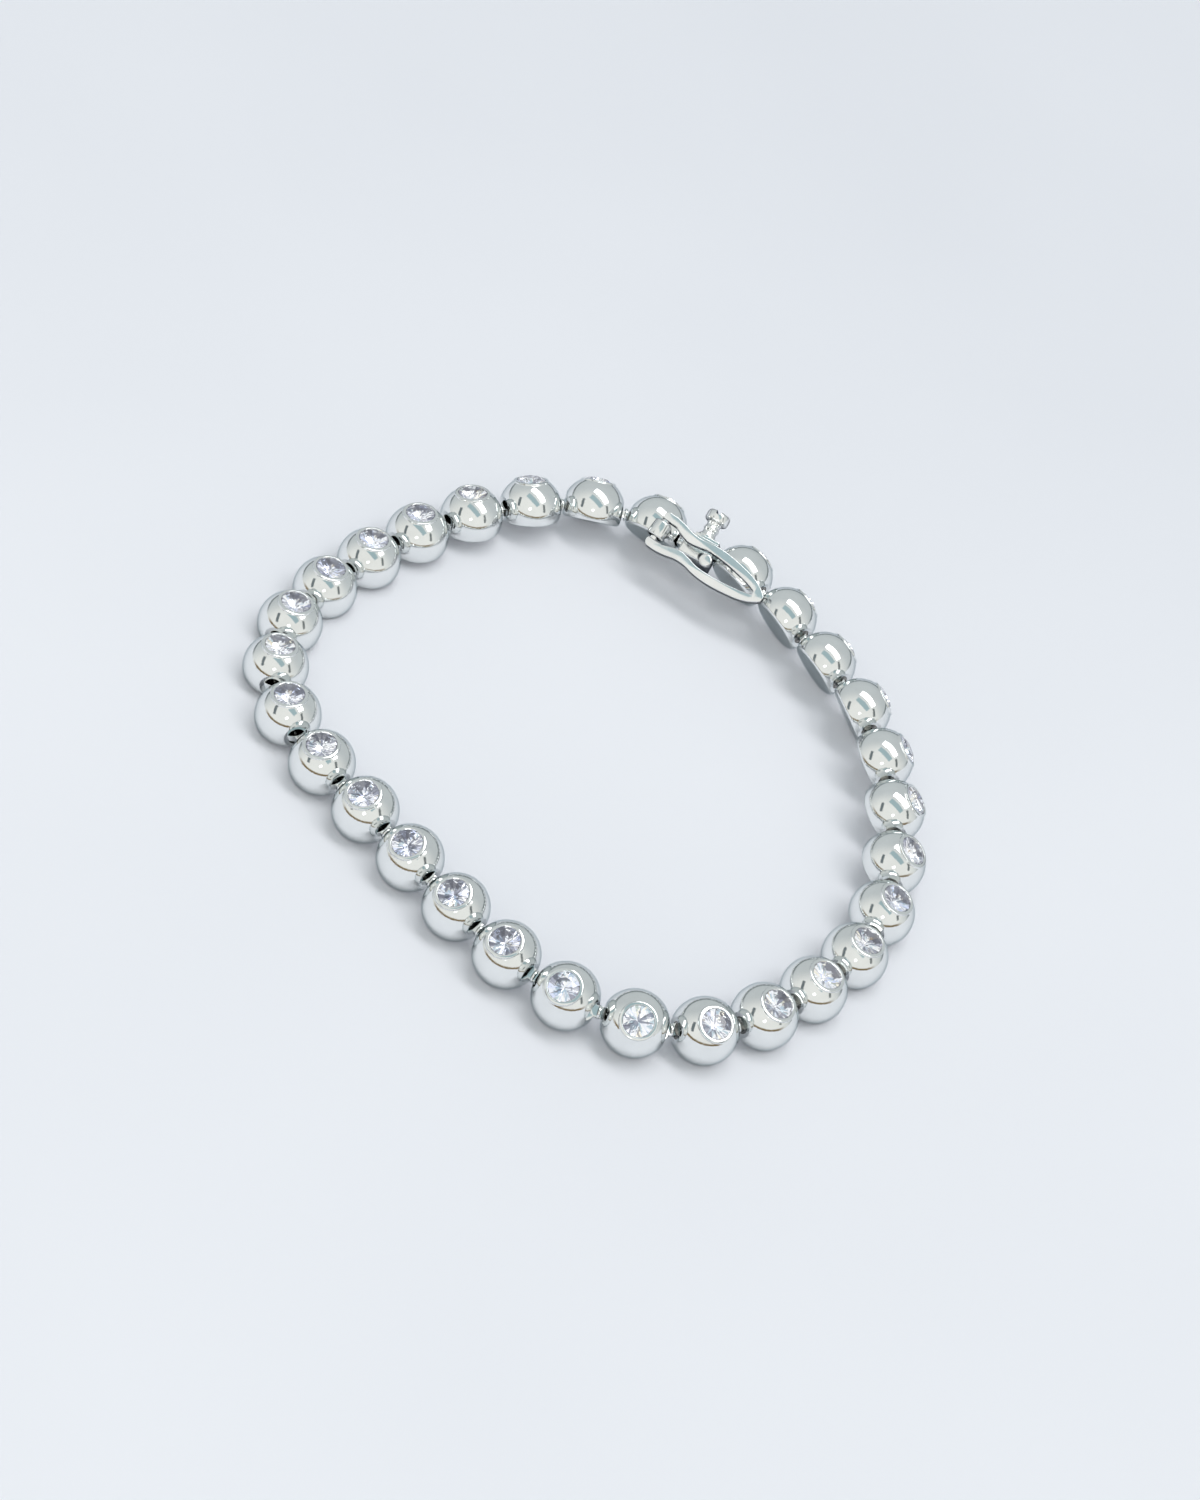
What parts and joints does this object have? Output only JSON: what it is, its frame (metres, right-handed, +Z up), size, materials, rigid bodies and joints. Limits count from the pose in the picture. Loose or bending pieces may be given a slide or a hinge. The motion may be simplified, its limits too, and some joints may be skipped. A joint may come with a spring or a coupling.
{
  "type": "tennis bracelet",
  "caption": "Closed bracelet of polished ball links, each set with a round stone, on short hinged tabs, with a box clasp, side stud and folding safety lever.",
  "frame": {"origin": "centre of the laid-out loop's box, on the surface that it lies on", "axes": "+Z up through the loop, the wrist hollow's direction; +Y from the front of the loop towards the clasp; +X to the right"},
  "size_m": [0.064, 0.0682, 0.0067],
  "materials": {
    "link_metal": "mirror polished plated silver, set with clear round stones",
    "clasp_metal": "polished plated silver",
    "lever_metal": "polished plated silver"
  },
  "bodies": {
    "bracelet": {"link_01": "link_metal", "link_02": "link_metal", "link_03": "link_metal", "link_04": "link_metal", "link_05": "link_metal", "link_06": "link_metal", "link_07": "link_metal", "link_08": "link_metal", "link_09": "link_metal", "link_10": "link_metal", "link_11": "link_metal", "link_12": "link_metal", "link_13": "link_metal", "link_14": "link_metal", "link_15": "link_metal", "link_16": "link_metal", "link_17": "link_metal", "link_18": "link_metal", "link_19": "link_metal", "link_20": "link_metal", "link_21": "link_metal", "link_22": "link_metal", "link_23": "link_metal", "link_24": "link_metal", "link_25": "link_metal", "link_26": "link_metal", "link_27": "link_metal", "link_28": "link_metal", "end_link": "link_metal", "clasp_box": "clasp_metal"},
    "lever": {"safety_lever": "lever_metal"}
  },
  "joints": [
    {"name": "lever_hinge", "type": "hinge", "parent": "bracelet", "child": "lever", "pos_m": [-0.00124, 0.02778, 0.00517], "axis": [-0.2781, -0.743, -0.6088], "range_deg": [0, 110]}
  ]
}
